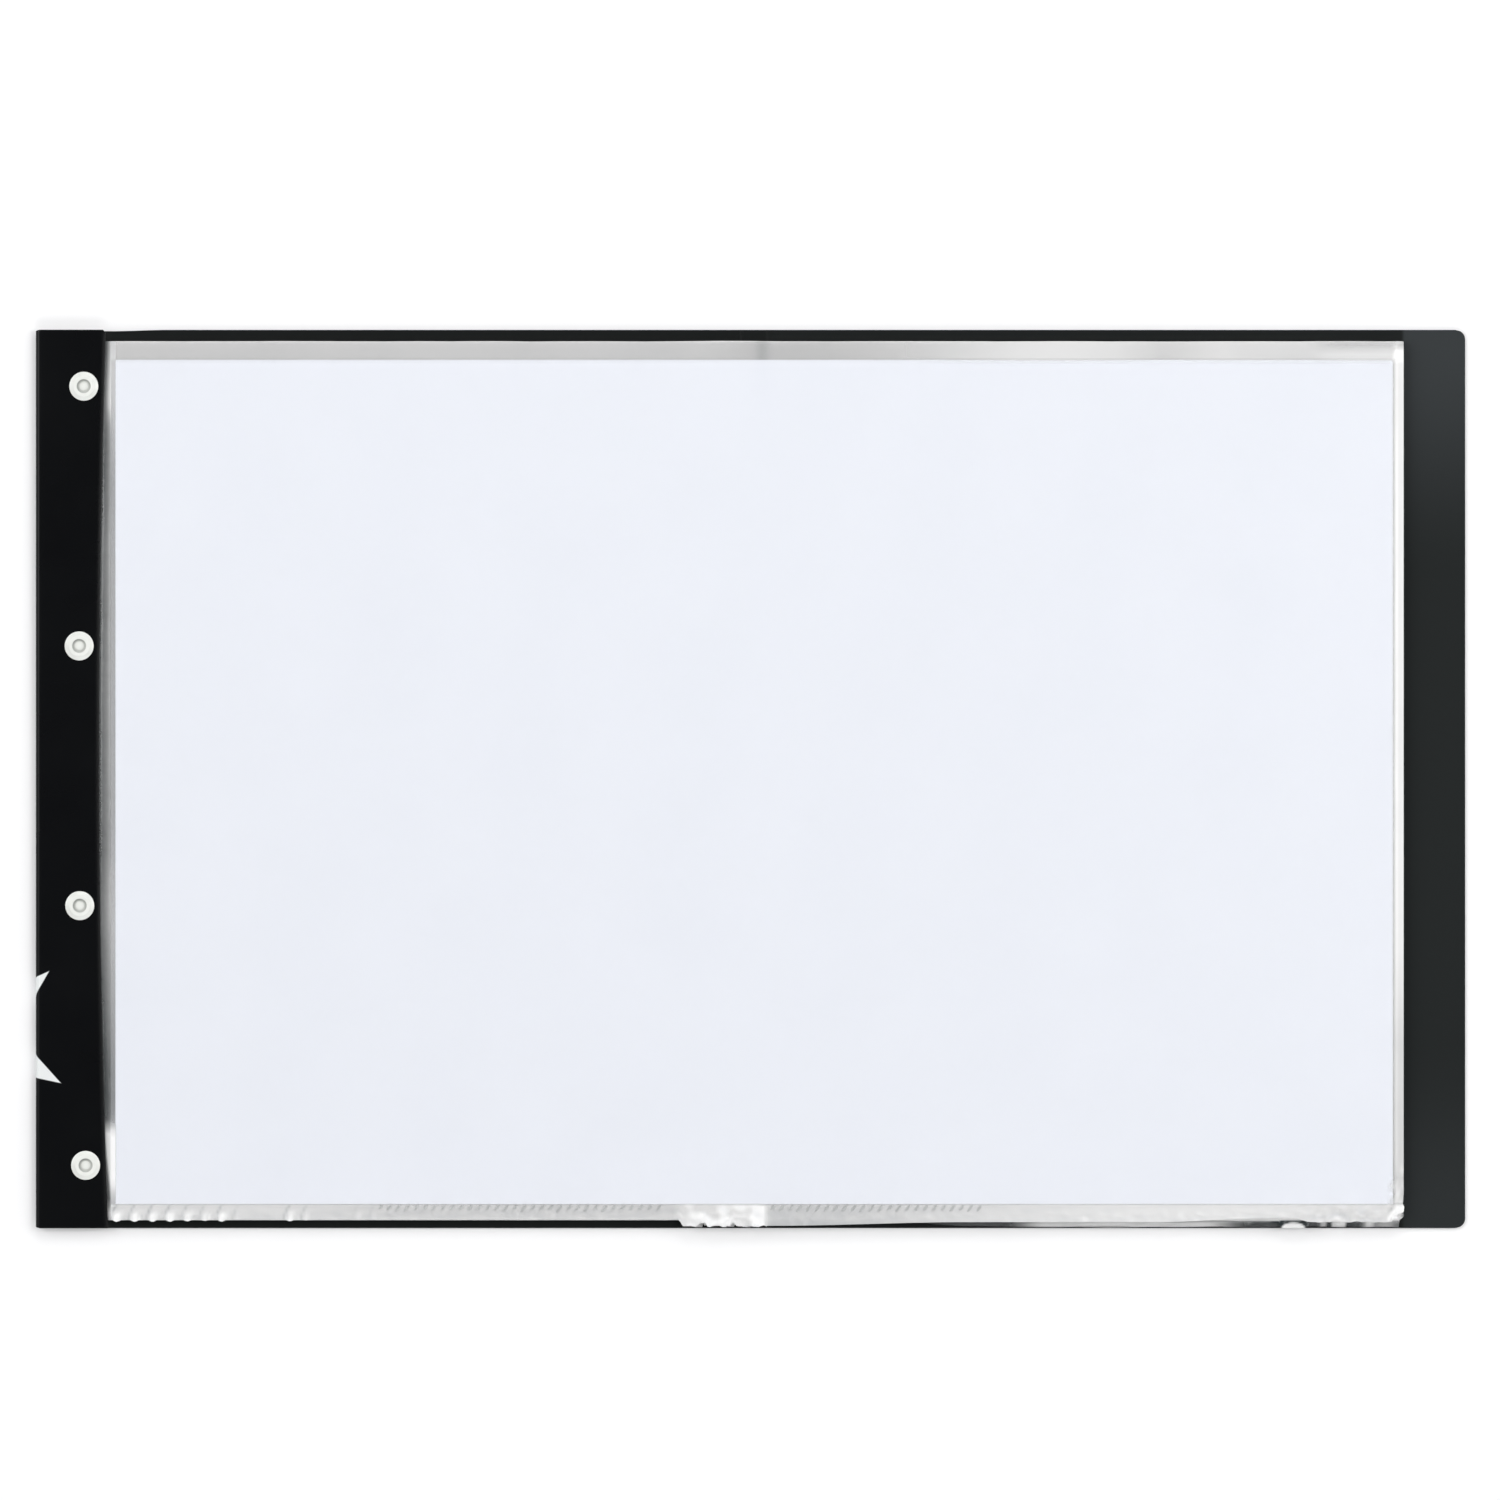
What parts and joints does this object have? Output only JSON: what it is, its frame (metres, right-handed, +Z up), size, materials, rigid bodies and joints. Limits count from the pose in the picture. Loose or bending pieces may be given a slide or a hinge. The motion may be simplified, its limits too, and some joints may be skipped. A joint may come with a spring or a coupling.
{
  "type": "folding display book",
  "caption": "Flat black folder of clear sheet pockets riveted under a turned-in strip at one side; the cover and the pockets fold in half across the middle.",
  "frame": {"origin": "middle of the open book's outline, at the surface it lies on", "axes": "+X across the open book, away from the riveted strip; +Y up the page, towards the pockets' open edge; +Z up, out of the page"},
  "size_m": [0.4932, 0.31, 0.0047],
  "materials": {
    "cover_sheet": "satin black polypropylene sheet, charcoal on its inner face",
    "rivet_plastic": "off-white moulded plastic, glossy",
    "clear_film": "clear embossed polypropylene film",
    "paper": "plain cool white paper, matt"
  },
  "bodies": {
    "bound_side": {"cover_left_panel": "cover_sheet", "pocket_01_margin": "clear_film", "rivet_socket_1": "rivet_plastic", "rivet_socket_2": "rivet_plastic", "rivet_socket_3": "rivet_plastic", "rivet_socket_4": "rivet_plastic", "rivet_stud_1": "rivet_plastic", "rivet_stud_2": "rivet_plastic", "rivet_stud_3": "rivet_plastic", "rivet_stud_4": "rivet_plastic", "pocket_02_left": "clear_film", "pocket_03_left": "clear_film", "pocket_04_left": "clear_film", "pocket_05_left": "clear_film", "pocket_06_left": "clear_film", "pocket_07_left": "clear_film", "pocket_08_left": "clear_film", "pocket_09_left": "clear_film", "pocket_10_left": "clear_film"},
    "spine": {"cover_spine_panel": "cover_sheet"},
    "right_cover": {"cover_right_panel": "cover_sheet"},
    "right_pile": {"pocket_02_right": "clear_film", "pocket_03_right": "clear_film", "pocket_04_right": "clear_film", "pocket_05_right": "clear_film", "pocket_06_right": "clear_film", "pocket_07_right": "clear_film", "pocket_08_right": "clear_film", "pocket_09_right": "clear_film", "pocket_10_right": "clear_film"},
    "top_pocket_left": {"pocket_01_left": "clear_film"},
    "top_pocket_right": {"pocket_01_right": "clear_film"},
    "sheet_left": {"sheet_left_half": "paper"},
    "sheet_right": {"sheet_right_half": "paper"}
  },
  "joints": [
    {"name": "cover_fold", "type": "hinge", "parent": "bound_side", "child": "spine", "pos_m": [-0.003, 0, 0.0008], "axis": [0, -1, 0], "range_deg": [0, 89.99]},
    {"name": "right_cover_fold", "type": "hinge", "parent": "spine", "child": "right_cover", "pos_m": [0.006, 0, 0.0008], "axis": [0, -1, 0], "range_deg": [0, 89.99]},
    {"name": "pile_fold", "type": "hinge", "parent": "bound_side", "child": "right_pile", "pos_m": [-0.00775, 0, 0.0053], "axis": [0, -1, 0], "range_deg": [0, 179.98]},
    {"name": "top_pocket_turn", "type": "hinge", "parent": "bound_side", "child": "top_pocket_left", "pos_m": [-0.22205, 0, 0.0054], "axis": [0, -1, 0], "range_deg": [0, 179.98]},
    {"name": "top_pocket_fold", "type": "hinge", "parent": "top_pocket_left", "child": "top_pocket_right", "pos_m": [-0.00775, 0, 0.0053], "axis": [0, -1, 0], "range_deg": [0, 179.98]},
    {"name": "sheet_slide", "type": "slide", "parent": "top_pocket_left", "child": "sheet_left", "axis": [0, 1, 0], "range_m": [0, 0.2]},
    {"name": "sheet_fold", "type": "hinge", "parent": "sheet_left", "child": "sheet_right", "pos_m": [-0.00775, 0, 0.0053], "axis": [0, -1, 0], "range_deg": [0, 179.98]}
  ],
  "couplings": [
    {"joint": "right_cover_fold", "follows": "cover_fold", "ratio": 1},
    {"joint": "pile_fold", "follows": "cover_fold", "ratio": 2},
    {"joint": "top_pocket_fold", "follows": "cover_fold", "ratio": 2},
    {"joint": "sheet_fold", "follows": "cover_fold", "ratio": 2}
  ]
}
